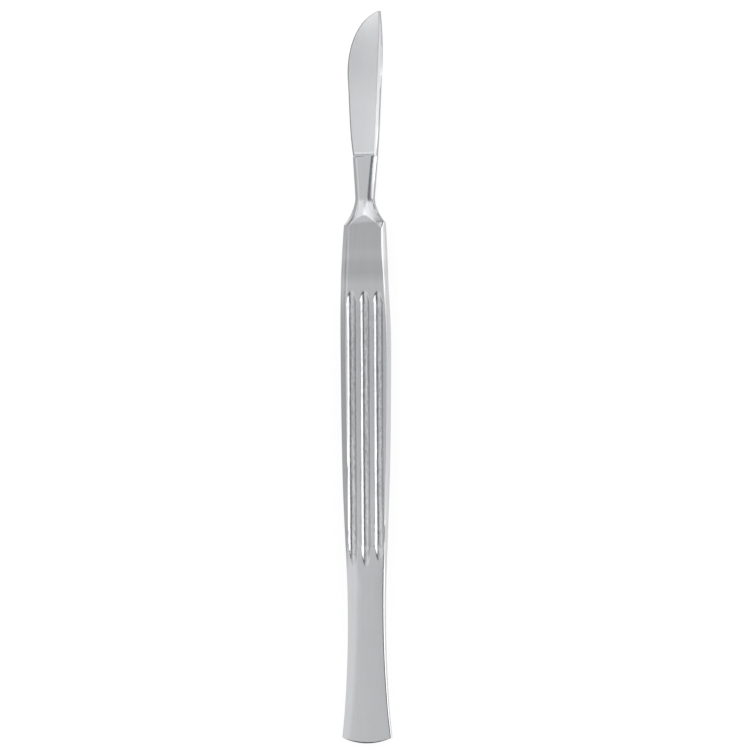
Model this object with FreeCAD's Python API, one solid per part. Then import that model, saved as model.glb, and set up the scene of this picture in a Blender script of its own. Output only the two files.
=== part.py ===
import FreeCAD, Part
import math
import os
from FreeCAD import Vector

# Solid one-piece scalpel, forged and ground from one bar of stainless steel.
# It lies on its lower face: X across the handle, Y from the butt to the tip of the blade, Z up.
# Lengths are in millimetres. Stations along the handle are counted from its butt end.

# Lengths of the four stretches
handle_length = 89.5
flare_length = 4.5
shank_length = 7.2
blade_length = 25.0

# Handle: half widths of the outline, from the splayed butt through the waist to the shoulder
butt_half_width = 4.4
splay_half_width = 3.82
waist_half_width = 3.22
heel_half_width = 3.94
grip_half_width = 4.31
front_half_width = 4.02
shoulder_half_width = 3.56
splay_station = 5.7
waist_station = 22.0
grip_from_shoulder = 23.5
front_from_shoulder = 6.5
shoulder_slant = 0.08

# Handle: half thickness of the faces and half height of the straight side walls
butt_half_thickness = 0.85
grip_half_thickness = 2.0
shoulder_half_thickness = 1.8
butt_side_height = 0.5
splay_side_height = 0.62
waist_side_height = 1.0
grip_side_height = 1.2
side_bevel_angle = 38.0
heel_station = 44.0
flat_front_from_shoulder = 5.5
heel_blend_radius = 240.0
front_blend_radius = 120.0
face_stock = 0.3

# Butt: rounded end and the small bevel on each face
butt_end_radius = 9.7
butt_bevel_length = 1.1
butt_bevel_depth = 0.3

# Flutes: three round grooves in each face, with tapered ends
flute_count = 3
flute_pitch = 2.3
flute_radius = 1.0
flute_depth = 0.46
flute_heel_station = 31.0
flute_head_from_shoulder = 11.4
flute_heel_ramp = 6.5
flute_head_ramp = 12.0
flute_ramp_radius = 8.0
middle_flute_extra = 0.5

# Flare: hollow shoulder between the handle and the shank
flare_crown = 2.4
flare_shoulder_height = 1.9
flare_steps = 4
flare_hollow = 1.8

# Shank and blade stock: distances from the long axis to the edge side and to the spine
neck_edge_side = 1.6
neck_spine_side = 1.8
plunge_edge_side = 2.0
plunge_spine_side = 2.4
root_edge_side = 2.5
root_spine_side = 2.72
belly_spine_side = 3.12
widest_spine_side = 3.32
tip_spine_side = 3.02
neck_half_thickness = 1.08
plunge_half_thickness = 1.0
root_half_thickness = 0.86
belly_half_thickness = 0.62
widest_half_thickness = 0.47
tip_half_thickness = 0.24
root_from_plunge = 5.0
widest_from_tip = 7.0
edge_stock = 0.3
spine_wall_share = 0.55
spine_bevel_width = 0.9
spine_facet_width = 0.45
spine_facet_drop_share = 0.11
edge_bevel_width = 0.25

# Blade: cutting edge, rounded belly and the clipped tip
belly_edge_side = 2.86
edge_bow = 0.4
belly_length = 11.7
belly_lower_handle = 2.75
belly_upper_handle = 5.5
belly_end_angle = 25.0
tip_width = 0.62
tip_ridge_width = 0.15
edge_half_thickness = 0.025
edge_set_in = 0.03
plunge_ridge_set_in = 0.38
belly_ridge_set_in = 0.2
plunge_radius = 0.65

# Grinding cut: shares of the ground width that it runs on past the edge and past the ridge
past_edge_share = 0.12
past_ridge_share = 0.48
tip_run_off = 0.24

# Places that follow from the sizes
overall_length = handle_length + flare_length + shank_length + blade_length
shoulder_y = handle_length
neck_y = shoulder_y + flare_length
plunge_y = neck_y + shank_length
tip_y = plunge_y + blade_length
belly_y = tip_y - belly_length
root_y = plunge_y + root_from_plunge
widest_y = tip_y - widest_from_tip
over = 5.0
same_place = 1e-6


def polygon(points):
    """A closed wire through the points."""
    return Part.makePolygon(list(points) + [points[0]])


def mirrored_across_z(shape):
    """The same shape on the other face."""
    return shape.mirror(Vector(0, 0, 0), Vector(0, 0, 1))


def face_height(y):
    """Half thickness of the handle's flat faces at a station, before the corners are blended."""
    heel = (heel_station, grip_half_thickness)
    front = (shoulder_y - flat_front_from_shoulder, grip_half_thickness)
    if y < heel[0]:
        start, end = (0.0, butt_half_thickness), heel
    elif y <= front[0]:
        return grip_half_thickness
    else:
        start, end = front, (shoulder_y, shoulder_half_thickness)
    return start[1] + (end[1] - start[1]) * (y - start[0]) / (end[0] - start[0])


def blended_path(points, radii):
    """Edges along a polyline in the YZ plane. A corner is a tangent arc, or sharp at radius 0."""
    edges = []
    start = Vector(0, *points[0])
    for index in range(1, len(points) - 1):
        corner = Vector(0, *points[index])
        if radii[index - 1] == 0:
            edges.append(Part.LineSegment(start, corner).toShape())
            start = corner
            continue
        back = (Vector(0, *points[index - 1]) - corner).normalize()
        ahead = (Vector(0, *points[index + 1]) - corner).normalize()
        half_angle = back.getAngle(ahead) / 2
        setback = radii[index - 1] / math.tan(half_angle)
        middle_way = (back + ahead).normalize()
        centre = corner + middle_way * (radii[index - 1] / math.sin(half_angle))
        arc_start = corner + back * setback
        arc_end = corner + ahead * setback
        edges.append(Part.LineSegment(start, arc_start).toShape())
        arc_middle = centre - middle_way * radii[index - 1]
        edges.append(Part.Arc(arc_start, arc_middle, arc_end).toShape())
        start = arc_end
    edges.append(Part.LineSegment(start, Vector(0, *points[-1])).toShape())
    return edges


def face_profile():
    """Prism that trims both faces: tapered butt, flat grip and slightly tapered shoulder."""
    front_y = shoulder_y - flat_front_from_shoulder
    top = [
        (-over, face_height(-over)),
        (heel_station, grip_half_thickness),
        (front_y, grip_half_thickness),
        (tip_y + over, face_height(tip_y + over)),
    ]
    upper = blended_path(top, [heel_blend_radius, front_blend_radius])
    lower = [mirrored_across_z(edge) for edge in upper]
    ends = []
    for y, z in (top[0], top[-1]):
        ends.append(Part.LineSegment(Vector(0, y, -z), Vector(0, y, z)).toShape())
    outline = Part.Wire(Part.__sortEdges__(upper + lower + ends))
    width = 2 * (grip_half_width + over)
    prism = Part.Face(outline).extrude(Vector(width, 0, 0))
    prism.translate(Vector(-width / 2, 0, 0))
    return prism


def side_bevel_width(rise):
    """How far in a side bevel of the handle reaches while it rises so much."""
    return rise / math.tan(math.radians(side_bevel_angle))


def handle_section(y, half_width, side_height, slant=0.0):
    """Bar section: straight side walls and bevels that run up past the faces."""
    roof = grip_half_thickness + face_stock
    inset = side_bevel_width(roof - side_height)
    corners = [
        (half_width, -side_height),
        (half_width, side_height),
        (half_width - inset, roof),
        (inset - half_width, roof),
        (-half_width, side_height),
        (-half_width, -side_height),
        (inset - half_width, -roof),
        (half_width - inset, -roof),
    ]
    return polygon([Vector(x, y + slant * x, z) for x, z in corners])


def handle_bar():
    """Bar from the butt to the shoulder with the waisted outline."""
    stations = [
        (0.0, butt_half_width, butt_side_height),
        (splay_station, splay_half_width, splay_side_height),
        (waist_station, waist_half_width, waist_side_height),
        (heel_station, heel_half_width, grip_side_height),
        (shoulder_y - grip_from_shoulder, grip_half_width, grip_side_height),
        (shoulder_y - front_from_shoulder, front_half_width, grip_side_height),
        (shoulder_y, shoulder_half_width, grip_side_height, shoulder_slant),
    ]
    return Part.makeLoft([handle_section(*station) for station in stations], True, False)


def crowned_section(y, edge_side, spine_side, flat, wall, bevels, facet_drop, crown, slant=0.0):
    """Ten-sided section of the shank and flare: a crowned face, an edge bevel and two at the spine."""
    edge_bevel, spine_bevel = bevels
    left = (-edge_side, wall)
    left_top = (edge_bevel - edge_side, flat)
    right_top = (spine_side - spine_bevel, flat)
    right_facet = (spine_side - spine_bevel + spine_facet_width, flat - facet_drop)
    right = (spine_side, wall)
    middle = ((left_top[0] + right_top[0]) / 2, crown)

    def at(point, side=1):
        return Vector(point[0], y + slant * point[0], side * point[1])

    def line(start, end):
        return Part.LineSegment(start, end).toShape()

    edges = [
        line(at(left, -1), at(left)),
        line(at(left), at(left_top)),
        Part.Arc(at(left_top), at(middle), at(right_top)).toShape(),
        line(at(right_top), at(right_facet)),
        line(at(right_facet), at(right)),
        line(at(right), at(right, -1)),
        line(at(right, -1), at(right_facet, -1)),
        line(at(right_facet, -1), at(right_top, -1)),
        Part.Arc(at(right_top, -1), at(middle, -1), at(left_top, -1)).toShape(),
        line(at(left_top, -1), at(left, -1)),
    ]
    return Part.Wire(edges)


def stock_section(y, edge_side, spine_side, half_thickness):
    """Section of the shank and of the blade before grinding."""
    wall = half_thickness * spine_wall_share
    crown = half_thickness + edge_half_thickness
    bevels = (edge_bevel_width, spine_bevel_width)
    drop = half_thickness * spine_facet_drop_share
    return crowned_section(y, edge_side, spine_side, half_thickness, wall, bevels, drop, crown)


def neck_section():
    """Section where the flare meets the shank."""
    return stock_section(neck_y, neck_edge_side, neck_spine_side, neck_half_thickness)


def plunge_section():
    """Section where the shank meets the blade."""
    return stock_section(plunge_y, plunge_edge_side, plunge_spine_side, plunge_half_thickness)


def flare():
    """Hollow flare: sections that open from the neck to the slanted shoulder."""
    rise = flare_shoulder_height - grip_side_height
    inset = side_bevel_width(rise)
    neck_wall = neck_half_thickness * spine_wall_share
    neck_drop = neck_half_thickness * spine_facet_drop_share
    shoulder_drop = rise * spine_facet_width / inset
    sections = [neck_section()]
    for step in range(1, flare_steps + 1):
        share = step / flare_steps
        opening = share**flare_hollow

        def between(neck, shoulder):
            return neck + (shoulder - neck) * opening

        sections.append(
            crowned_section(
                neck_y - flare_length * share,
                between(neck_edge_side, shoulder_half_width),
                between(neck_spine_side, shoulder_half_width),
                between(neck_half_thickness, flare_shoulder_height),
                between(neck_wall, grip_side_height),
                (between(edge_bevel_width, inset), between(spine_bevel_width, inset)),
                between(neck_drop, shoulder_drop),
                between(neck_half_thickness + edge_half_thickness, flare_crown),
                shoulder_slant * share,
            )
        )
    return Part.makeLoft(sections, True, False)


def front_stock():
    """Shank and unground blade, thinning from the neck to the tip."""
    shank = Part.makeLoft([neck_section(), plunge_section()], True, False)
    belly_edge = belly_edge_side + edge_stock
    stations = [
        (root_y, root_edge_side + edge_stock, root_spine_side, root_half_thickness),
        (belly_y, belly_edge, belly_spine_side, belly_half_thickness),
        (widest_y, belly_edge, widest_spine_side, widest_half_thickness),
        (tip_y, belly_edge, tip_spine_side, tip_half_thickness),
    ]
    sections = [plunge_section()] + [stock_section(*station) for station in stations]
    return shank, Part.makeLoft(sections, True, False)


def three_span_curve(points):
    """Curve of three cubic spans through ten control points."""
    curve = Part.BSplineCurve()
    curve.buildFromPolesMultsKnots(points, [4, 3, 3, 4], [0, 1, 2, 3], False, 3)
    return curve


def straight_span(start, end):
    """The two inner control points of a straight cubic span."""
    third = (end - start) / 3
    return [start + third, end - third]


def spans(start, middle, handles, end, run_off, bow=Vector()):
    """Control points of a long span that may bow out, a curved span and a short run-off."""
    first, second = straight_span(start, middle)
    lower_handle, upper_handle = handles
    return [
        start,
        first + bow,
        second,
        middle,
        middle + lower_handle,
        end - upper_handle,
        end,
        *straight_span(end, end + run_off),
        end + run_off,
    ]


def closing_direction():
    """Direction in which the belly of the edge runs out over the tip."""
    angle = math.radians(belly_end_angle)
    return Vector(math.cos(angle), math.sin(angle), 0)


def edge_points():
    """Control points of the cutting edge: near straight, then round the belly to the clipped tip."""
    start = Vector(edge_set_in - plunge_edge_side, plunge_y, edge_half_thickness)
    middle = Vector(-belly_edge_side, belly_y, edge_half_thickness)
    end = Vector(tip_spine_side - tip_width, tip_y, edge_half_thickness)
    rise = (middle - start).normalize() * belly_lower_handle
    close = closing_direction()
    handles = (rise, close * belly_upper_handle)
    return spans(start, middle, handles, end, close * tip_run_off, Vector(-edge_bow, 0, 0))


def facet_point(y, spine_side, half_thickness, set_in):
    """A point on the spine's upper facet, some way in from its upper line."""
    drop = half_thickness * spine_facet_drop_share * set_in / spine_facet_width
    return Vector(spine_side - spine_bevel_width + set_in, y, half_thickness - drop)


def ridge_points():
    """Control points of the line where the ground face meets the spine's upper facet."""
    start = facet_point(plunge_y, plunge_spine_side, plunge_half_thickness, plunge_ridge_set_in)
    middle = facet_point(belly_y, belly_spine_side, belly_half_thickness, belly_ridge_set_in)
    set_in = spine_bevel_width - tip_width + tip_ridge_width
    end = facet_point(tip_y, tip_spine_side, tip_half_thickness, set_in)
    rise = (middle - start).normalize() * (belly_length / 3)
    handles = (rise, (end - middle) / 3)
    return spans(start, middle, handles, end, closing_direction() * tip_run_off)


def edge_outline():
    """Prism that trims the blade stock to the line of the cutting edge."""
    flat = [Vector(p.x, p.y, 0) for p in edge_points()]
    backward = flat[0] + flat[0] - flat[1]
    curve = three_span_curve(flat).toShape()
    far = over + widest_spine_side
    corners = [flat[-1], Vector(far, flat[-1].y, 0), Vector(far, backward.y, 0), backward, flat[0]]
    sides = [Part.LineSegment(a, b).toShape() for a, b in zip(corners, corners[1:])]
    face = Part.Face(Part.Wire([curve] + sides))
    face.translate(Vector(0, 0, -over))
    return face.extrude(Vector(0, 0, 2 * over))


def grinding_cut():
    """What the wheel takes off one face: a flat bevel below it, and a round run-out at the plunge."""
    low, high = [], []
    for edge, ridge in zip(edge_points(), ridge_points()):
        low.append(edge - (ridge - edge) * past_edge_share)
        high.append(ridge + (ridge - edge) * past_ridge_share)
    surface = Part.makeRuledSurface(
        three_span_curve(low).toShape(), three_span_curve(high).toShape()
    )
    wheel = surface.extrude(Vector(0, 0, over))
    ends = (low[0], high[0])

    def at_plunge_corner(vertex):
        return any(vertex.Point.isEqual(end, same_place) for end in ends)

    corner = [edge for edge in wheel.Edges if all(map(at_plunge_corner, edge.Vertexes))]
    return wheel.makeFillet(plunge_radius, corner)


def flute_cut(extra):
    """Round-nosed cutter path for one flute, ramped out of the face at both ends."""
    lift = flute_radius - flute_depth
    heel_end = flute_heel_station - extra
    head_end = shoulder_y - flute_head_from_shoulder
    heel_slope = math.tan(math.radians(flute_heel_ramp))
    head_slope = math.tan(math.radians(flute_head_ramp))
    heel_in = heel_end + flute_depth / heel_slope
    head_in = head_end - flute_depth / head_slope
    run_off = flute_radius
    path_points = [
        (heel_end - run_off, face_height(heel_end) + flute_radius + run_off * heel_slope),
        (heel_in, face_height(heel_in) + lift),
        (heel_station, face_height(heel_station) + lift),
        (head_in, face_height(head_in) + lift),
        (head_end + run_off, face_height(head_end) + flute_radius + run_off * head_slope),
    ]
    path = Part.Wire(blended_path(path_points, [flute_ramp_radius, 0, flute_ramp_radius]))
    start = Vector(0, *path_points[0])
    ring = Part.makeCircle(flute_radius, start, Vector(0, *path_points[1]) - start)
    return path.makePipeShell([Part.Wire([ring])], True, False, 1)


def flutes():
    """The grooves of both faces. The middle one starts a little nearer to the butt."""
    cuts = []
    for index in range(flute_count):
        place = index - (flute_count - 1) / 2
        cut = flute_cut(middle_flute_extra if place == 0 else 0.0)
        cut.translate(Vector(place * flute_pitch, 0, 0))
        cuts += [cut, mirrored_across_z(cut)]
    return cuts


def butt_cuts():
    """What is taken off the end: outside of the round end, and a small bevel on each face."""
    far = butt_half_width + over
    high = grip_half_thickness + over
    block = Part.makeBox(
        2 * far, over + butt_end_radius, 2 * high, Vector(-far, -over, -high)
    )
    round_end = Part.makeCylinder(
        butt_end_radius, 2 * high, Vector(0, butt_end_radius, -high), Vector(0, 0, 1)
    )
    slope = butt_bevel_depth / butt_bevel_length
    top = face_height(butt_bevel_length)
    wedge = polygon(
        [
            Vector(-far, butt_bevel_length, top),
            Vector(-far, -over, top - slope * (over + butt_bevel_length)),
            Vector(-far, -over, high),
            Vector(-far, butt_bevel_length, high),
        ]
    )
    bevel = Part.Face(wedge).extrude(Vector(2 * far, 0, 0))
    return [block.cut(round_end), bevel, mirrored_across_z(bevel)]


def body():
    """The whole instrument, before it is laid down."""
    handle = handle_bar().fuse(flare()).common(face_profile())
    handle = handle.cut(flutes() + butt_cuts())
    shank, blade = front_stock()
    grind = grinding_cut()
    blade = blade.common(edge_outline()).cut([grind, mirrored_across_z(grind)])
    return handle.fuse([shank, blade]).removeSplitter()


os.makedirs("parts", exist_ok=True)
scalpel = body()
scalpel.translate(Vector(0, -overall_length / 2, grip_half_thickness))
scalpel.exportStep("parts/scalpel.step")
print("solids", len(scalpel.Solids), "valid", scalpel.isValid(), "volume", round(scalpel.Volume, 2))
print("centre of mass", scalpel.Solids[0].CenterOfMass, "from butt", overall_length / 2)
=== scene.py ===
# %% [markdown]
# # A one-piece steel scalpel
#
# The instrument is forged and ground from one bar of stainless steel: a splayed butt, a waisted
# handle with three flutes in each face, a hollow flare, a short shank and a bellied blade.
# The packed part comes in as a fixed frame. It has the true sizes, but flat facets and sharp
# corners. A polished tool never has those: light runs round its edges, and that is most of its look.
# So this lesson grinds a finer body of the same sizes, and lets it stand for the packed solid.

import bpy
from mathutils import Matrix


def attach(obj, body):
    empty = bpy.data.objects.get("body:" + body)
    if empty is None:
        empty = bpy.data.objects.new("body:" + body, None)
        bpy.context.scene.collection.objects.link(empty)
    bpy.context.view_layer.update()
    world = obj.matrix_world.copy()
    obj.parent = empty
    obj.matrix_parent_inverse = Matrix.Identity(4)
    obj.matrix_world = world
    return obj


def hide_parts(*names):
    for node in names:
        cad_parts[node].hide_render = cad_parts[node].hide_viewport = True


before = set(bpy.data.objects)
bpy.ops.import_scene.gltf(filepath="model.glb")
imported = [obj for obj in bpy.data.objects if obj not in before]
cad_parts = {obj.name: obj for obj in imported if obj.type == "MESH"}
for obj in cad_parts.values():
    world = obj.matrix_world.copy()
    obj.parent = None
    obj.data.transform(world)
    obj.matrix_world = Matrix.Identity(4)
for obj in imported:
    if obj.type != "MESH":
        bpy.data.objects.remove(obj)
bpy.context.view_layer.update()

# %% Modules
import math

import bpy
import numpy as np
from mathutils import Matrix, Vector

MM = 0.001
print("Blender", bpy.app.version_string)

# %% [markdown]
# ## Stations along the instrument
#
# A toolmaker checks such a piece with a gauge at a few stations, counted from the butt in
# millimetres. The same few numbers are all that the shape needs. Between the stations the outline
# is a natural spline, the curve that a thin wooden batten takes when it is bent round pins. The
# photographed piece is ground a little narrower than that, so each side of the handle is trimmed by
# up to a quarter of a millimetre.

# %% Stations and outline in millimetres
SHOULDER, NECK, PLUNGE, TIP = 89.5, 94.0, 101.2, 126.2
BELLY = TIP - 11.7
HALF_LENGTH, MID_HEIGHT = TIP / 2, 2.0
HANDLE_WIDTHS = [
    (0, 4.29), (5.7, 3.82), (22, 3.22), (44, 3.94), (66, 4.31), (83, 4.0), (SHOULDER, 3.56),
]
LEFT_TRIM = [(0, 0.02), (20, 0.1), (30, 0.12), (40, 0.08), (50, 0.15), (83, 0.14), (SHOULDER, 0.12)]
RIGHT_TRIM = [(0, 0), (40, 0), (66, 0), (72, 0.03), (79.3, 0.24), (84, 0.16), (SHOULDER, 0.03)]
SPINE_LINE = [(PLUNGE, 2.4), (106.2, 2.72), (BELLY, 3.12), (119.2, 3.32), (TIP, 3.02)]
HALF_THICKNESS = [(NECK, 1.08), (PLUNGE, 1.0), (106.2, 0.86), (BELLY, 0.62), (119.2, 0.47), (TIP, 0.24)]
SHOULDER_SLANT, SLANT_START = 0.08, 79
BUTT_ARC_RADIUS, BUTT_ARC_REACH = 9.7, 6


def batten(pins, at):
    """Natural spline through the pins, read at the stations."""
    x, y = np.array(pins, float).T
    count, gaps = len(x), np.diff(x)
    system, load = np.eye(count), np.zeros(count)
    for i in range(1, count - 1):
        system[i, i - 1 : i + 2] = gaps[i - 1], 2 * (gaps[i - 1] + gaps[i]), gaps[i]
        load[i] = 6 * ((y[i + 1] - y[i]) / gaps[i] - (y[i] - y[i - 1]) / gaps[i - 1])
    bend = np.linalg.solve(system, load)
    k = np.clip(np.searchsorted(x, at) - 1, 0, count - 2)
    gap, after, before = gaps[k], at - x[k], x[k + 1] - at
    curved = (bend[k] * before**3 + bend[k + 1] * after**3) / (6 * gap)
    start = (y[k] / gap - bend[k] * gap / 6) * before
    return curved + start + (y[k + 1] / gap - bend[k + 1] * gap / 6) * after


def pinned(pins, at):
    """Straight lines between the pins, read at the stations."""
    return np.interp(at, *np.array(pins, float).T)


print("half width at the grip", round(float(batten(HANDLE_WIDTHS, np.array([60.0]))[0]), 3), "mm")

# %% [markdown]
# ## The sides of the bar
#
# Each side has an upright wall, then a bevel up to the face. The bevel on the edge side is flatter
# and rolled over by the polishing wheel, while the one on the spine side is steep, and crisp along
# the grip. A slope is the rise of a bevel for each millimetre across, and a roll is how far the
# wheel rounds the corner between bevel and face. In the flare and the shank, a pair gives a value at
# the neck and what it gains up to the shoulder or up to the plunge.

# %% Walls, bevels and rolled corners
GRIP_HALF, BUTT_HALF = 2.0, 0.85
FACE_RISE, FACE_FALL, FACE_FALL_START = 0.0261, 0.0364, 84.0
LEFT_WALLS = [(0, 0.6), (5.7, 0.76), (22, 1.2), (34, 1.22), (44, 1.2), (SHOULDER, 1.2)]
RIGHT_WALLS = [
    (0, 0.7), (5.7, 0.82), (22, 1.22), (34, 1.42), (44, 1.5), (80, 1.5), (86, 1.35), (SHOULDER, 1.35),
]
LEFT_SLOPES = [(0, 0.38), (28, 0.38), (38, 0.78), (SHOULDER, 0.78)]
RIGHT_SLOPES = [(0, 1.45), (68, 1.45), (86, 0.9), (SHOULDER, 0.9)]
CROWNING = [
    (0, 0.008), (28, 0.016), (40, 0.003), (80, 0.003), (SHOULDER, 0.004), (NECK, 0.012),
    (PLUNGE, 0.012), (102, 0),
]
CROWN_CENTRE = -0.3
LEFT_ROLL = [
    (0, 0.4), (20, 0.8), (30, 0.8), (38, 0.3), (SHOULDER, 0.4), (NECK, 0.25), (PLUNGE, 0.2), (102, 0.02),
]
RIGHT_ROLL = [
    (0, 0.4), (29, 0.5), (36, 0.03), (74, 0.03), (84, 0.3), (NECK, 0.12), (PLUNGE, 0.05), (102, 0.02),
]
TO_SHOULDER = {
    "left": (-1.48, -1.96), "right": (1.8, 1.73), "wall": (0.68, 0.52), "right_wall": (0.6, 0.75),
    "left_slope": (0.7, 0.08), "right_slope": (0.48, 0.42), "border": (0.35, 0.9),
}
TO_PLUNGE = {
    "left": (-1.48, -0.42), "right": (1.8, 0.6), "wall": (0, 0), "right_wall": (0.6, -0.1),
    "left_slope": (0.7, 0), "right_slope": (0.48, 0.03), "border": (0.35, 0),
}
FLARE_POWER, RIGHT_WALL_POWER, SHANK_WALL_SHARE = 1.8, 0.7, 0.63
NO_CUT = 9.0
print("values that change along the flare", list(TO_SHOULDER))

# %% [markdown]
# ## The blade
#
# Each side of the blade is one ground face. It starts at a ridge near the spine and falls to a small
# honed bevel along the edge. Between the ridge and the spine lies a narrow strip. The edge itself
# runs almost straight from the plunge, rounds the belly and meets the spine in a small clipped tip.
# Two cubic spans draw it, as a pen would: a start, two handles and an end for each.

# %% Ridge, strip and cutting edge
RIDGE_LINE = [(PLUNGE, 1.76), (106.2, 1.97), (BELLY, 2.33), (119.2, 2.47), (123, 2.62), (TIP, 2.6)]
RIDGE_HEIGHT = [(PLUNGE, 0.95), (106.2, 0.815), (BELLY, 0.58), (119.2, 0.44), (123, 0.34), (TIP, 0.21)]
STRIP_SLOPES = [(PLUNGE, 0.46), (110, 0.45), (BELLY, 0.44), (119.2, 0.43), (TIP, 0.43)]
LEAST_WALL_SHARE, BORDER_SHARE, BLADE_LEFT_SLOPE = 0.15, 0.6, 0.7
EDGE_HALF_THICKNESS = 0.025
HONED_RISE, HONED_SLOPE = 0.1, 0.62
RUN_OUT_START = 0.25
EDGE_START, EDGE_BELLY, EDGE_END = (-1.9, PLUNGE), (-2.78, BELLY), (2.48, TIP)
EDGE_BOW, BELLY_HANDLE, TIP_HANDLE, TIP_ANGLE = 0.4, 2.75, 5.5, math.radians(25)


def pen_span(start, first, second, end, count=120):
    """Points along one cubic span."""
    t = np.linspace(0, 1, count)[:, None]
    a, b, c, d = (np.array(p, float) for p in (start, first, second, end))
    return (1 - t) ** 3 * a + 3 * (1 - t) ** 2 * t * b + 3 * (1 - t) * t**2 * c + t**3 * d


def edge_line():
    """Points (x, station) of the cutting edge."""
    start, belly, end = np.array(EDGE_START), np.array(EDGE_BELLY), np.array(EDGE_END)
    third = (belly - start) / 3
    rise = third / np.linalg.norm(third) * BELLY_HANDLE
    close = np.array([math.cos(TIP_ANGLE), math.sin(TIP_ANGLE)]) * TIP_HANDLE
    lower = pen_span(start, start + third - (EDGE_BOW, 0), belly - third, belly)
    return np.vstack([lower, pen_span(belly, belly + rise, end - close, end)[1:]])


EDGE_LINE = edge_line()
print("edge points", len(EDGE_LINE), "widest", round(float(-EDGE_LINE[:, 0].min()), 2), "mm")

# %% [markdown]
# ## The section at every station
#
# The piece has four stretches: handle, flare, shank and blade. A section is the set of gauge
# readings at one station: where both sides are, how high their walls are, how steep their bevels,
# and where the spine's second facet and its narrow border cut begin.

# %% Sections
FACET_WIDTH = 1.2
FLARE_CORNER, SHANK_CORNER, STRIP_CORNER_SHARE = 0.55, 0.58, 0.5


def by_stretch(at, handle, flare, shank, blade):
    """Picks the values of the stretch that each station is in."""
    return np.select([at < SHOULDER, at < NECK, at < PLUNGE], [handle, flare, shank], blade)


def sections(at):
    """Outline, walls, bevels and facets of the section at the stations."""
    opening = np.minimum(np.maximum(NECK - at, 0) / (NECK - SHOULDER), 1) ** FLARE_POWER
    along = np.clip((at - NECK) / (PLUNGE - NECK), 0, 1)
    width, on_blade = batten(HANDLE_WIDTHS, at), np.maximum(at, PLUNGE)
    thick, ridge = batten(HALF_THICKNESS, np.maximum(at, NECK)), batten(RIDGE_HEIGHT, on_blade)
    edge, spine = np.interp(at, EDGE_LINE[:, 1], EDGE_LINE[:, 0]), batten(SPINE_LINE, on_blade)
    strip = spine - batten(RIDGE_LINE, on_blade)
    blade_wall = np.maximum(ridge - pinned(STRIP_SLOPES, at) * strip, LEAST_WALL_SHARE * thick)
    handle = {
        "left": batten(LEFT_TRIM, at) - width, "right": width - batten(RIGHT_TRIM, at),
        "wall": pinned(LEFT_WALLS, at), "right_wall": pinned(RIGHT_WALLS, at),
        "left_slope": pinned(LEFT_SLOPES, at), "right_slope": pinned(RIGHT_SLOPES, at),
        "border": NO_CUT,
    }
    blade = {
        "left": edge, "right": spine, "wall": blade_wall, "right_wall": blade_wall,
        "left_slope": BLADE_LEFT_SLOPE, "right_slope": (ridge - blade_wall) / strip,
        "border": BORDER_SHARE * blade_wall,
    }
    gauge = {}
    for name, (start, gain) in TO_SHOULDER.items():
        share = opening**RIGHT_WALL_POWER if name == "right_wall" else opening
        first, more = TO_PLUNGE[name]
        shank = SHANK_WALL_SHARE * thick if name == "wall" else first + more * along
        gauge[name] = by_stretch(at, handle[name], start + gain * share, shank, blade[name])
    rising = np.minimum(BUTT_HALF + at * FACE_RISE, GRIP_HALF)
    face = np.minimum(rising, GRIP_HALF + (FACE_FALL_START - at) * FACE_FALL)
    corner = (face - handle["right_wall"]) / handle["right_slope"]
    gauge["corner"] = by_stretch(at, corner, FLARE_CORNER, SHANK_CORNER, STRIP_CORNER_SHARE * strip)
    gauge["facet"] = by_stretch(at, 0.0, FACET_WIDTH, FACET_WIDTH, 0.0)
    gauge["flat"] = thick
    return gauge


plunge_section = sections(np.array([PLUNGE]))
print("section at the plunge", {name: round(float(v[0]), 3) for name, v in plunge_section.items()})

# %% [markdown]
# ## The blank sheet
#
# A blank is cut before anything is ground. Here it is a flat sheet of half the instrument, with the
# true outline and with its border at the middle plane. Its rows crowd at the butt, the flute ends,
# the shoulder, the plunge and the tip. Its columns run lengthwise and crowd where flute rims and
# bevels will be. One column lies exactly on the ridge of the blade and one on the corner of the
# spine's bevel: a crease between two columns would smear into a band of wrong light.

# %% Rows and columns of the sheet
ROW_STRETCHES = [
    (0.0, 0.3, 0.06), (0.3, 1.6, 0.13), (1.6, 6.0, 0.5), (6.0, 28.0, 2.0), (28.0, 38.5, 0.15),
    (38.5, 71.0, 2.0), (71.0, 79.4, 0.14), (79.4, 86.0, 0.8), (86.0, 94.4, 0.09),
    (94.4, 100.7, 0.6), (100.7, 102.3, 0.05), (102.3, 114.0, 0.6), (114.0, 123.0, 0.3),
    (123.0, TIP, 0.11),
]
FLUTES_FROM, FLUTES_TO = 30, 79.4
FLUTE_CENTRES = [-2.15, 0.18, 2.51]
FLUTE_OFFSETS = [0.07, 0.14, 0.22, 0.32, 0.45, 0.56, 0.64, 0.70, 0.76, 0.82]
LAND_COLUMNS = [-0.99, 1.35]
SIDE_ROOM = [(0, 0.5), (30, 0.4), (80, 0.9), (SHOULDER, 0.8), (NECK, 0.4), (TIP, 0.3)]
SIDE_SHARES = [0, 0.035, 0.08, 0.3, 0.48, 0.57, 0.65, 0.73, 0.81, 0.9]
BEVEL_SHARES, LAND_SHARES = [0, 0.1, 0.35, 0.7, 1.0], [0.08, 0.2, 0.4, 0.65, 0.85]
MOST_BEVEL_SHARE = 0.8
WALL_RISES = [0, 0.5, 0.95]


def row_stations():
    """Stations of the rows, with the two ends repeated for the end walls."""
    rows = [np.linspace(a, b, max(2, round((b - a) / step) + 1))[:-1] for a, b, step in ROW_STRETCHES]
    return np.concatenate([[0.0], *rows, [TIP, TIP]])


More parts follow.
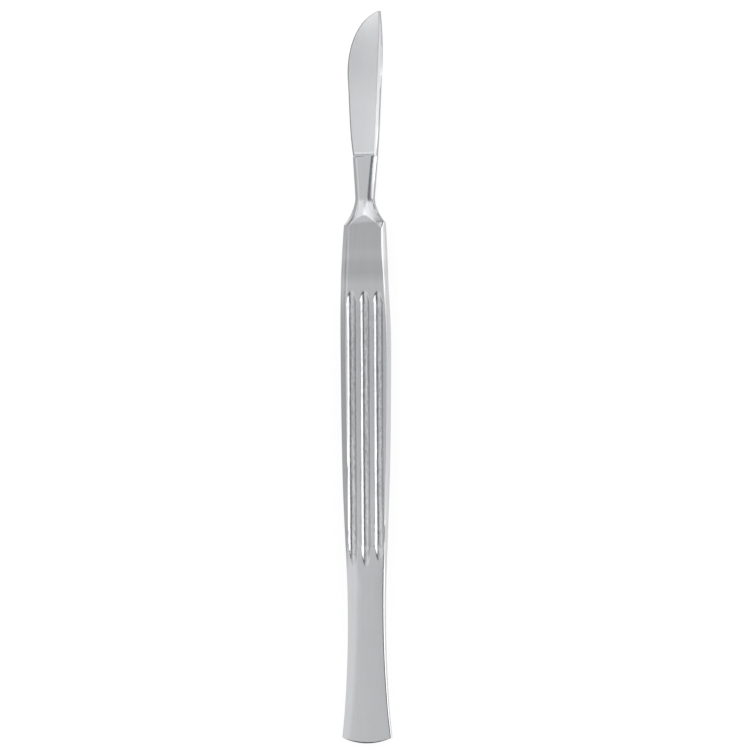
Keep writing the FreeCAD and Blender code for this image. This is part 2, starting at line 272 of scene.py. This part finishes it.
def column_places(at, left, right, corner):
    """Distances across of the columns at one station, and how far each wall point has risen."""
    offsets = [-o for o in reversed(FLUTE_OFFSETS)] + [0] + FLUTE_OFFSETS
    inner = np.array(sorted([c + o for c in FLUTE_CENTRES for o in offsets] + LAND_COLUMNS))
    low, high = left + pinned(SIDE_ROOM, at), right - pinned(SIDE_ROOM, at)
    if at > PLUNGE:
        high = batten(RIDGE_LINE, np.array([at]))[0]
    if FLUTES_FROM < at < FLUTES_TO:
        low, high = inner[0], inner[-1]
    inner = low + (inner - inner[0]) / (inner[-1] - inner[0]) * (high - low)
    left_side = left + (inner[0] - left) * np.array(SIDE_SHARES)
    side = right - inner[-1]
    corner = min(corner, MOST_BEVEL_SHARE * side)
    bevel, land = corner * np.array(BEVEL_SHARES), corner + (side - corner) * np.array(LAND_SHARES)
    right_side = right - np.concatenate([bevel, land])
    x = np.concatenate([[left] * 3, left_side, inner, right_side[::-1], [right] * 3])
    ones = np.ones(len(x) - 6)
    return x, np.concatenate([WALL_RISES, ones, WALL_RISES[::-1]])


rows = row_stations()
print("rows", len(rows), "columns", len(column_places(50.0, -4.0, 4.0, 0.3)[0]))

# %% [markdown]
# ## What each point remembers
#
# Every point of the sheet carries its gauge readings as named attributes, so that the grinding can
# be written without looking anything up: how far it is from both sides, the walls and slopes of its
# section, the top of the flare above it, and the ground face below it. The flare opens in arches: it
# begins a little later away from the middle. One more reading is painted light and shade, a tone
# that stands in for reflections: painted shade on the walls, along the rims of shank and blade, and
# in bands on the face towards the shoulder, and a painted highlight on the edge side's bevel there.

# %% Readings of one row
FLARE_RISE, SHANK_CROWN, FLARE_CROWN = 0.82, 0.025, 0.475
FLARE_BEND, FLARE_REACH, FACET_SLOPE = 0.12, 13, 0.32
CROWN_MARGIN, CROWN_START = 0.55, 0.3
# Painted shade on the walls and along the rims of blade and shank, by this share, over rims of these
# widths; the last width is that of the edge side's bevel, which gets a painted highlight.
PAINTED_RIM_SHADE, EDGE_RIM, SPINE_RIM, LEFT_BEVEL = 0.6, 0.16, 0.14, 0.7
# Painted light and shade along the instrument: darker and lighter bands on the face towards the shoulder.
PAINTED_SHADING_ALONG = [
    (0, 1.0), (42, 0.98), (53, 0.88), (62, 0.85), (74, 0.85), (77, 0.93), (79, 0.93), (81, 0.77),
    (82.8, 0.78), (84.1, 0.86), (85.6, 0.79), (SHOULDER, 0.77), (90, 1.0),
]
# A painted highlight on the edge side's bevel near the shoulder.
PAINTED_LEFT_BEVEL_LIGHT = [(0, 1), (68, 1), (76, 1.15), (80, 1.36), (SHOULDER, 1.36), (89.7, 1)]


def ground_face(at, x, left):
    """Height of the blade's ground face above each point, with the honed bevel at its edge."""
    on_blade = np.array([max(at, PLUNGE)])
    ridge, height = batten(RIDGE_LINE, on_blade)[0], batten(RIDGE_HEIGHT, on_blade)[0]
    slope = (height - EDGE_HALF_THICKNESS - HONED_RISE) / (ridge - left)
    ground = HONED_RISE + (x - left) * slope
    honed = np.minimum(ground, (x - left) * HONED_SLOPE)
    return EDGE_HALF_THICKNESS + honed + NO_CUT * (at < PLUNGE - RUN_OUT_START)


def painted_shading(at, x, left, right, rise):
    """Painted light and shade at each point, as a factor on the steel's colour."""
    edge_rim, spine_rim = (x - left < EDGE_RIM) & (at > PLUNGE), (right - x < SPINE_RIM) & (at > SHOULDER)
    # Painted shade on the walls and rims, and painted bands of light and shade along the face.
    tone = pinned(PAINTED_SHADING_ALONG, at) * np.where((rise < 1) | edge_rim | spine_rim, PAINTED_RIM_SHADE, 1)
    # A painted highlight on the edge side's bevel near the shoulder.
    return tone * np.where(x - left < LEFT_BEVEL, pinned(PAINTED_LEFT_BEVEL_LIGHT, at), 1)


def row_readings(at, section, x, rise):
    """All gauge readings of the points in one row."""
    left, right, flat, facet = (section[name] for name in ("left", "right", "flat", "facet"))
    half = (right - left) / 2 - CROWN_MARGIN
    across = np.clip((x - left - CROWN_START - half) / half, -1, 1)
    closing = (np.clip(NECK - at - FLARE_BEND * x**2, 0, FLARE_REACH) / (NECK - SHOULDER)) ** FLARE_POWER
    second_facet = flat + FLARE_RISE * closing - FACET_SLOPE * (facet - right + x)
    row = {
        "from_left": x - left, "from_right": right - x, "rise": rise, "ground": ground_face(at, x, left),
        "top": flat + FLARE_RISE * closing + (SHANK_CROWN + FLARE_CROWN * closing) * (1 - across**2),
        "from_butt": np.full(len(x), at),
        "left_roll": np.full(len(x), pinned(LEFT_ROLL, at)),
        "right_roll": np.full(len(x), pinned(RIGHT_ROLL, at)),
        "crowning": pinned(CROWNING, at) * (x - CROWN_CENTRE) ** 2,
        # The tone is painted light and shade.
        "tone": painted_shading(at, x, left, right, rise),
        "facet": second_facet if facet else np.full(len(x), NO_CUT),
    }
    for name in ("wall", "right_wall", "left_slope", "right_slope", "border"):
        row[name] = np.full(len(x), section[name])
    return row


print("tone at the shoulder", round(float(pinned(PAINTED_SHADING_ALONG, 88.0)), 3))


# %% The sheet as a mesh
def blank_sheet():
    """Flat mesh of half the instrument, in millimetres, with a named attribute for each reading."""
    gauge = sections(rows)
    readings, points = {}, []
    for index, at in enumerate(rows):
        section = {name: values[index] for name, values in gauge.items()}
        x, rise = column_places(at, section["left"], section["right"], section["corner"])
        slanted = np.interp(at, [SLANT_START, SHOULDER, NECK], [0, 1, 0]) * SHOULDER_SLANT * x
        hollow = BUTT_ARC_RADIUS - np.sqrt(BUTT_ARC_RADIUS**2 - x**2)
        y = at + slanted + hollow * np.clip(1 - at / BUTT_ARC_REACH, 0, 1)
        if index in (0, len(rows) - 1):
            rise = rise * 0
        for name, values in row_readings(at, section, x, rise).items():
            readings.setdefault(name, []).append(values)
        points.append(np.column_stack([x, y, np.zeros(len(x))]))
    columns = len(points[0])
    grid = np.arange(len(rows) * columns).reshape(len(rows), columns)
    faces = np.stack([grid[:-1, :-1], grid[:-1, 1:], grid[1:, 1:], grid[1:, :-1]], -1)
    mesh = bpy.data.meshes.new("blank")
    mesh.from_pydata(np.concatenate(points), [], faces.reshape(-1, 4).tolist())
    for name, values in readings.items():
        layer = mesh.attributes.new(name, "FLOAT", "POINT")
        layer.data.foreach_set("value", np.concatenate(values).astype(np.float32))
    return mesh


blank = bpy.data.objects.new("blank", blank_sheet())
bpy.context.scene.collection.objects.link(blank)
print("blank", len(blank.data.vertices), "points,", len(blank.data.polygons), "quads")

# %% [markdown]
# ## Node sums written as plain sums
#
# Both the grinding and the finish are made of many small sums on values. Placing each Math node by
# hand hides what they say, so a small class wraps a socket: adding, multiplying or comparing two
# wrapped sockets places the node and its links. One method makes any other node.

# %% A socket that can be calculated with
class Reading:
    """A node socket that takes part in sums."""

    def __init__(self, tree, socket):
        self.tree, self.socket = tree, socket

    def math(self, operation, *others):
        node = self.tree.nodes.new("ShaderNodeMath")
        node.operation = operation
        for slot, value in zip(node.inputs, (self, *others)):
            if isinstance(value, Reading):
                self.tree.links.new(value.socket, slot)
            else:
                slot.default_value = value
        return Reading(self.tree, node.outputs[0])

    def __add__(self, other):
        return self.math("ADD", other)

    def __sub__(self, other):
        return self.math("SUBTRACT", other)

    def __rsub__(self, other):
        return self.math("MULTIPLY", -1.0).math("ADD", other)

    def __mul__(self, other):
        return self.math("MULTIPLY", other)

    def __truediv__(self, other):
        return self.math("DIVIDE", other)

    __radd__, __rmul__ = __add__, __mul__

    def least(self, other, soft=0.0):
        return self.math("SMOOTH_MIN", other, soft)

    def most(self, other, soft=0.0):
        return self.math("SMOOTH_MAX", other, soft)

    def root(self):
        return self.math("SQRT")

    def clipped(self, low=0.0, high=1.0):
        return self.math("MAXIMUM", low).math("MINIMUM", high)


print("operations ready:", [n for n in vars(Reading) if not n.startswith("_")])


# %% A bench that places nodes
class Bench:
    """Places nodes in one tree."""

    def __init__(self, tree):
        self.tree = tree

    def node(self, kind, settings=None, output=0, **values):
        """One node. A value's name is its socket's, with _ for a blank, or _ and the socket's number."""
        made = self.tree.nodes.new(kind)
        for name, value in (settings or {}).items():
            setattr(made, name, value)
        for name, value in values.items():
            slot = made.inputs[int(name[1:])] if name[1:].isdigit() else made.inputs[name.replace("_", " ")]
            if isinstance(value, Reading):
                self.tree.links.new(value.socket, slot)
            else:
                slot.default_value = value
        return Reading(self.tree, made.outputs[output])

    def attribute(self, name):
        """The value of a named attribute, in a material."""
        return self.node("ShaderNodeAttribute", {"attribute_name": name}, output=2)


print("the bench can place", [n for n in vars(Bench) if not n.startswith("_")])

# %% [markdown]
# ## Grinding by Geometry Nodes
#
# Every surface of the real instrument is what some wheel left behind, and the part that stays is
# always the lowest of all the cuts. So the height of each point is the least of a few simple
# heights: the tapered face, both bevels, the spine's second facet and border, the butt's bevel, the
# flutes and the ground side of the blade. A soft minimum rounds the corner where two of them meet,
# just as polishing does.

# %% The tree and its named inputs
grinding = bpy.data.node_groups.new("Grinding", "GeometryNodeTree")
grinding.interface.new_socket("Geometry", in_out="OUTPUT", socket_type="NodeSocketGeometry")
grinding.interface.new_socket("Sheet", in_out="INPUT", socket_type="NodeSocketGeometry")
GRIND_SIZES = {
    "Grip half thickness": GRIP_HALF, "Butt half thickness": BUTT_HALF, "Flute depth": 0.46,
    "Flute radius": 1.0, "Flute heel": 30.3, "Flute head": 78.1,
    "Pitch": 2.33, "Flute offset": 0.18, "Rim softness": 0.06, "Plunge radius": 0.95,
    "Wheel wander": 0.05,
}
READING_NAMES = (
    "from_left", "from_right", "wall", "right_wall", "left_slope", "right_slope", "left_roll",
    "right_roll", "facet", "border", "top", "ground", "rise", "crowning", "from_butt",
)
for size_name in GRIND_SIZES:
    grinding.interface.new_socket(size_name, in_out="INPUT", socket_type="NodeSocketFloat")
grinding.interface.new_socket("Steel", in_out="INPUT", socket_type="NodeSocketMaterial")
bench = Bench(grinding)
given = grinding.nodes.new("NodeGroupInput")
size = {name: Reading(grinding, given.outputs[name]) for name in GRIND_SIZES}
reading = {
    name: bench.node("GeometryNodeInputNamedAttribute", {"data_type": "FLOAT"}, Name=name)
    for name in READING_NAMES
}
place = grinding.nodes.new("ShaderNodeSeparateXYZ")
grinding.links.new(grinding.nodes.new("GeometryNodeInputPosition").outputs[0], place.inputs[0])
across, station = Reading(grinding, place.outputs[0]), Reading(grinding, place.outputs[1])
print("inputs", list(GRIND_SIZES))

# %% Face, bevels and butt
HEEL_TAPER_LENGTH, HEEL_SOFTNESS = 44.0, 0.118
FRONT_SLOPE, FRONT_SOFTNESS = 0.2 / 5.5, 0.04
BORDER_SLOPE, BORDER_SOFTNESS = 1.8, 0.02
BUTT_BEVEL_SLOPE, BUTT_BEVEL_WIDTH, BUTT_SOFTNESS = 0.7, 0.24, 0.03
TOP_SOFTNESS, FACET_SOFTNESS = 0.06, 0.03

heel_slope = (size["Grip half thickness"] - size["Butt half thickness"]) / HEEL_TAPER_LENGTH
heel_face = size["Butt half thickness"] + station * heel_slope
front_face = size["Grip half thickness"] + (FACE_FALL_START - station) * FRONT_SLOPE
face = heel_face.least(size["Grip half thickness"], HEEL_SOFTNESS).least(front_face, FRONT_SOFTNESS)
left_side = reading["wall"] + reading["from_left"] * reading["left_slope"]
right_side = reading["right_wall"] + reading["from_right"] * reading["right_slope"]
butt_bevel = size["Butt half thickness"] + (reading["from_butt"] - BUTT_BEVEL_WIDTH) * BUTT_BEVEL_SLOPE
crowned = reading["top"].least(face, TOP_SOFTNESS) - reading["crowning"]
bar = crowned.least(reading["facet"], FACET_SOFTNESS)
outer = bar.least(left_side, reading["left_roll"]).least(right_side, reading["right_roll"])
outer = outer.least(reading["border"] + reading["from_right"] * BORDER_SLOPE, BORDER_SOFTNESS)
ground_bar = outer.least(butt_bevel, BUTT_SOFTNESS)
print("nodes after the bar", len(grinding.nodes))

# %% [markdown]
# The flutes are round grooves that a wheel cuts along each face. The nearest of the three is found
# by rounding, so one groove serves for all. The wheel climbs out at both ends, more slowly at the
# butt, where the middle flute reaches furthest. It wanders a little on the way, which gives the
# strips of light their live edge.

# %% Flutes
HEEL_STAGGER, HEEL_BOW = 0.52, 0.17
HEEL_RUN, HEEL_CLIMB = 4.0, 0.115
HEAD_RUN, HEAD_CLIMB = 2.2, 0.21
RAMP_SOFTNESS, MASK_DEPTH = 0.1, 0.25
WANDER_ACROSS, WANDER_ALONG = 0.25, 0.7
LEAST_SQUARE = 0.02

wander_place = bench.node("ShaderNodeCombineXYZ", X=across * WANDER_ACROSS, Y=station * WANDER_ALONG)
wander = bench.node(
    "ShaderNodeTexNoise", {"noise_dimensions": "2D"}, Vector=wander_place, Scale=1.0, Detail=3.0,
)
offset = across - size["Flute offset"] - (wander - 0.5) * size["Wheel wander"] * 2.0
number = (offset / size["Pitch"]).math("ROUND").clipped(-1.0, 1.0)
aside = offset - number * size["Pitch"]
heel_end = size["Flute heel"] + number * HEEL_STAGGER - number * number * HEEL_BOW
heel_ramp = (heel_end + HEEL_RUN - station) * HEEL_CLIMB
head_ramp = (station + HEAD_RUN - size["Flute head"]) * HEAD_CLIMB
climb = heel_ramp.most(0.0, RAMP_SOFTNESS).most(head_ramp, RAMP_SOFTNESS)
floor_height = face - size["Flute depth"] + climb
flute_radius = size["Flute radius"]
arch_square = (flute_radius * flute_radius - aside * aside).most(LEAST_SQUARE)
groove = floor_height + flute_radius - arch_square.root()
fluted = ground_bar.least(groove, size["Rim softness"])
flute_mask = ((ground_bar - groove) / MASK_DEPTH).clipped()
print("nodes after the flutes", len(grinding.nodes))

# %% Ground side of the blade
RIDGE_SOFTNESS, GROUND_MASK_DEPTH = 0.015, 0.02

radius = size["Plunge radius"]
past = (station - PLUNGE + RUN_OUT_START).clipped(0.0, NO_CUT)
left_over = radius - past.math("MINIMUM", radius)
run_out = radius - (radius * radius - left_over * left_over).root()
wheel = reading["ground"] + run_out
blade_height = fluted.least(wheel, RIDGE_SOFTNESS)
height = blade_height.math("MAXIMUM", EDGE_HALF_THICKNESS) * reading["rise"]
ground_mask = ((fluted - wheel) / GROUND_MASK_DEPTH).clipped()
print("nodes after the blade", len(grinding.nodes))

# %% [markdown]
# The ground sheet is one half of the instrument. Its mirror image, with its faces flipped so that
# they point outwards again, is the other. Both meet at the middle plane, where their border points
# are merged. The masks of the flutes and of the ground sides go along for the finish.

# %% Both halves joined and sent out
WELD_DISTANCE = 0.0004

raised = bench.node("ShaderNodeCombineXYZ", X=across, Y=station, Z=height)
sheet = Reading(grinding, given.outputs["Sheet"])
for name, mask in (("flute", flute_mask), ("ground_side", ground_mask)):
    sheet = bench.node(
        "GeometryNodeStoreNamedAttribute", {"data_type": "FLOAT", "domain": "POINT"},
        Geometry=sheet, Name=name, Value=mask,
    )
upper = bench.node("GeometryNodeSetPosition", Geometry=sheet, Position=raised)
turned = bench.node("GeometryNodeTransform", Geometry=upper, Scale=(1, 1, -1))
lower = bench.node("GeometryNodeFlipFaces", Mesh=turned)
both = grinding.nodes.new("GeometryNodeJoinGeometry")
grinding.links.new(upper.socket, both.inputs[0])
grinding.links.new(lower.socket, both.inputs[0])
joined = Reading(grinding, both.outputs[0])
welded = bench.node("GeometryNodeMergeByDistance", Geometry=joined, Distance=WELD_DISTANCE)
laid = bench.node(
    "GeometryNodeTransform", Geometry=welded, Scale=(MM, MM, MM),
    Translation=(0, -HALF_LENGTH * MM, MID_HEIGHT * MM),
)
smooth = bench.node("GeometryNodeSetShadeSmooth", Geometry=laid)
whole = bench.node("GeometryNodeRealizeInstances", Geometry=smooth)
steel_given = Reading(grinding, given.outputs["Steel"])
painted = bench.node("GeometryNodeSetMaterial", Geometry=whole, Material=steel_given)
result = grinding.nodes.new("NodeGroupOutput")
grinding.links.new(painted.socket, result.inputs[0])
print("nodes in the grinding tree", len(grinding.nodes))

# %% [markdown]
# ## Satin steel
#
# The instrument is matt polished: fine lines run along the handle, the flutes keep the coarser
# streaks and flecks of the shaping wheel, and the sides of the blade are ground across. Noise that
# is stretched along the grain makes the lines. It moves the colour, the roughness and the height a
# little, so that the light breaks up the way it does on real steel. The colour also carries the
# painted light and shade of the sheet.

# %% Grain of the steel
steel = bpy.data.materials.new("satin_steel")
steel.use_nodes = True
steel.node_tree.nodes.clear()
finish = Bench(steel.node_tree)
coordinates = steel.node_tree.nodes.new("ShaderNodeTexCoord")
spot = Reading(steel.node_tree, coordinates.outputs["Object"])
# The tone reading of the sheet is painted light and shade.
painted_shading_reading, flute, ground_side = (finish.attribute(name) for name in ("tone", "flute", "ground_side"))


def grain(scale, detail, rough=0.6):
    """Noise from 0 to 1, stretched by the three scales."""
    stretched = finish.node("ShaderNodeMapping", Vector=spot, Scale=scale)
    return finish.node("ShaderNodeTexNoise", Vector=stretched, Scale=1.0, Detail=detail, Roughness=rough)


lengthwise = grain((5000, 90, 5000), 4.0)
streaks = grain((3600, 130, 3600), 5.0, 0.7)
flecks = grain((3200, 1100, 3200), 3.0, 0.7)
crosswise = grain((120, 7000, 120), 4.0)
clouds = grain((260, 120, 260), 3.0)
print("nodes in the grain", len(steel.node_tree.nodes))

# %% Colour, roughness and relief of the steel
STEEL_COLOUR, STEEL_ROUGHNESS = (0.66, 0.667, 0.685, 1), 0.19
RELIEF_STRENGTH, RELIEF_DEPTH = 0.25, 0.00004

tone = 1.0 + (lengthwise - 0.5) * 0.12 + (clouds - 0.5) * 0.06
tone = tone + ((streaks - 0.5) * 1.1 + (flecks - 0.5) * 0.95 - 0.05) * flute
tone = tone + (crosswise - 0.5) * ground_side * 0.05
# Painted light and shade from the sheet scales the grain's tone.
tone = tone * painted_shading_reading
grey = finish.node("ShaderNodeCombineColor", Red=tone, Green=tone, Blue=tone)
colour = finish.node(
    "ShaderNodeMix", {"data_type": "RGBA", "blend_type": "MULTIPLY"}, output=2,
    _0=1.0, _6=STEEL_COLOUR, _7=grey,
)
roughness = STEEL_ROUGHNESS + (lengthwise - 0.5) * 0.08 + (streaks - 0.5) * flute * 0.16 + flute * 0.02
relief = (lengthwise * (1 - ground_side) + crosswise * ground_side) * 0.4 + streaks * flute
bump = finish.node("ShaderNodeBump", Strength=RELIEF_STRENGTH, Distance=RELIEF_DEPTH, Height=relief)
shader = steel.node_tree.nodes.new("ShaderNodeBsdfPrincipled")
shader.inputs["Metallic"].default_value = 1.0
steel.node_tree.links.new(colour.socket, shader.inputs["Base Color"])
steel.node_tree.links.new(roughness.socket, shader.inputs["Roughness"])
steel.node_tree.links.new(bump.socket, shader.inputs["Normal"])
steel_output = steel.node_tree.nodes.new("ShaderNodeOutputMaterial")
steel.node_tree.links.new(shader.outputs[0], steel_output.inputs[0])
print("nodes in the steel", len(steel.node_tree.nodes))

# %% [markdown]
# ## The finished body
#
# The tree is put on the blank with its sizes, the result becomes a plain mesh, and the blank goes.
# Corners sharper than 22 degrees, such as the cutting edge and the ridge of the blade, keep a crisp
# line of light.

# %% From blank to body
SHARP_ANGLE = math.radians(22)

modifier = blank.modifiers.new("Grinding", "NODES")
modifier.node_group = grinding
given_sockets = [item for item in grinding.interface.items_tree if item.in_out == "INPUT"]
identifiers = {item.name: item.identifier for item in given_sockets}
for size_name, value in GRIND_SIZES.items():
    modifier[identifiers[size_name]] = value
modifier[identifiers["Steel"]] = steel
evaluated = blank.evaluated_get(bpy.context.evaluated_depsgraph_get())
body_mesh = bpy.data.meshes.new_from_object(evaluated)
body_mesh.set_sharp_from_angle(angle=SHARP_ANGLE)
for name in READING_NAMES:
    body_mesh.attributes.remove(body_mesh.attributes[name])
scalpel = bpy.data.objects.new("scalpel_body", body_mesh)
bpy.context.scene.collection.objects.link(scalpel)
bpy.data.objects.remove(blank)
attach(scalpel, "root")
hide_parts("scalpel")
triangles = sum(len(p.vertices) - 2 for p in body_mesh.polygons)
corners = np.array([v.co for v in body_mesh.vertices])
print("triangles", triangles, "low", corners.min(0), "high", corners.max(0))

# %% [markdown]
# ## Table, light and camera
#
# Polished steel shows its surroundings, so the light is a sky cut into soft windows. Each window is
# given by the angles that it fills and by its radiance. The flat faces mirror the grey window
# overhead, the spine's bevels mirror the bright ones at the right, and a dark gap between the two
# draws the thin line that separates them. The table glows faintly, so that it stays white without a
# strong light from above. The camera looks straight down, turned seven degrees towards the spine.

# %% Table top
TABLE_HALF, TABLE_GREY, TABLE_GLOW = 1.5, 0.3, 0.8

floor_mesh = bpy.data.meshes.new("table_top")
floor_corners = [(-TABLE_HALF, -TABLE_HALF, 0), (TABLE_HALF, -TABLE_HALF, 0)]
floor_corners += [(TABLE_HALF, TABLE_HALF, 0), (-TABLE_HALF, TABLE_HALF, 0)]
floor_mesh.from_pydata(floor_corners, [], [(0, 1, 2, 3)])
floor = bpy.data.objects.new("table_top", floor_mesh)
bpy.context.scene.collection.objects.link(floor)
paper = bpy.data.materials.new("white_paper")
paper.use_nodes = True
paper_shader = paper.node_tree.nodes["Principled BSDF"]
paper_shader.inputs["Base Color"].default_value = (TABLE_GREY, TABLE_GREY, TABLE_GREY, 1)
paper_shader.inputs["Roughness"].default_value = 0.9
paper_shader.inputs["Emission Color"].default_value = (1, 1, 1, 1)
paper_shader.inputs["Emission Strength"].default_value = TABLE_GLOW
floor_mesh.materials.append(paper)
print("table top", 2 * TABLE_HALF, "m wide")

# %% Windows of the sky
WINDOWS = [
    ("left_low", -90, -64, -34, 40, 0.4),
    ("left", -64, -50, -34, 40, 0.6),
    ("upper_left", -50, -16, -34, 17, 0.76),
    ("overhead", -16, 8, -27, 17, 0.58),
    ("edge", 8, 20, -1, 5, 0.28),
    ("right_near", 38, 50, -24, 17, 1.4),
    ("right_high", 50, 72, -24, 17, 2.1),
    ("right_low", 72, 88, -24, 17, 1.2),
    ("near", -40, 30, -62, -29, 0.5),
    ("far_left", -40, -4, 15, 48, 0.95),
    ("far_left_side", -62, -40, 15, 55, 0.45),
    ("far_low", -80, -4, 55, 84, 0.5),
    ("far_right", -4, 38, 17, 55, 1.15),
    ("far_middle", 8, 24, 5, 17, 0.75),
    ("far_side", 38, 86, 26, 70, 0.4),
]
SKY_RADIUS, ROOM_LIGHT = 0.6, 0.15


def window(name, across_from, across_to, along_from, along_to, radiance):
    """A soft light between these degrees from straight up, unseen by the camera."""
    across = math.radians((across_from + across_to) / 2)
    along = math.radians((along_from + along_to) / 2)
    width = 2 * SKY_RADIUS * math.cos(along) * math.tan(math.radians(across_to - across_from) / 2)
    length = 2 * SKY_RADIUS * math.tan(math.radians(along_to - along_from) / 2)
    light = bpy.data.lights.new(name, "AREA")
    light.shape, light.size, light.size_y = "RECTANGLE", width, length
    light.energy = radiance * math.pi * width * length
    lamp = bpy.data.objects.new(name, light)
    turned = Matrix.Rotation(across, 4, "Y") @ Matrix.Rotation(-along, 4, "X")
    lamp.matrix_world = turned @ Matrix.Translation((0, 0, SKY_RADIUS))
    lamp.visible_camera = False
    bpy.context.scene.collection.objects.link(lamp)


for row in WINDOWS:
    window(*row)
world = bpy.data.worlds.new("room")
world.use_nodes = True
world.node_tree.nodes["Background"].inputs["Color"].default_value = (1, 1, 1, 1)
world.node_tree.nodes["Background"].inputs["Strength"].default_value = ROOM_LIGHT
bpy.context.scene.world = world
print("windows", len(WINDOWS))

# %% Camera
PIXELS_PER_MM, PICTURE_WIDTH = 5.8, 750
LENS, SENSOR = 200.0, 36
TURN, ROLL = math.radians(7.3), math.radians(0.3)
AIM_ACROSS, AIM_ALONG = 1.664, 0.35

distance = LENS / SENSOR * PICTURE_WIDTH / PIXELS_PER_MM * MM
back = Vector((math.sin(TURN), 0, math.cos(TURN)))
right = Vector((math.cos(TURN), 0, -math.sin(TURN)))
up = Vector((0, 1, 0))
tilted_right = right * math.cos(ROLL) - up * math.sin(ROLL)
tilted_up = up * math.cos(ROLL) + right * math.sin(ROLL)
target = Vector((0, AIM_ALONG * MM, MID_HEIGHT * MM)) + right * AIM_ACROSS * MM
camera_data = bpy.data.cameras.new("camera")
camera_data.lens, camera_data.sensor_width = LENS, SENSOR
camera = bpy.data.objects.new("camera", camera_data)
basis = Matrix((tilted_right, tilted_up, back)).transposed().to_4x4()
camera.matrix_world = Matrix.Translation(target + back * distance) @ basis
bpy.context.scene.collection.objects.link(camera)
bpy.context.scene.camera = camera
bpy.context.scene.view_settings.view_transform = "Standard"
print("camera distance", round(distance, 4), "m")
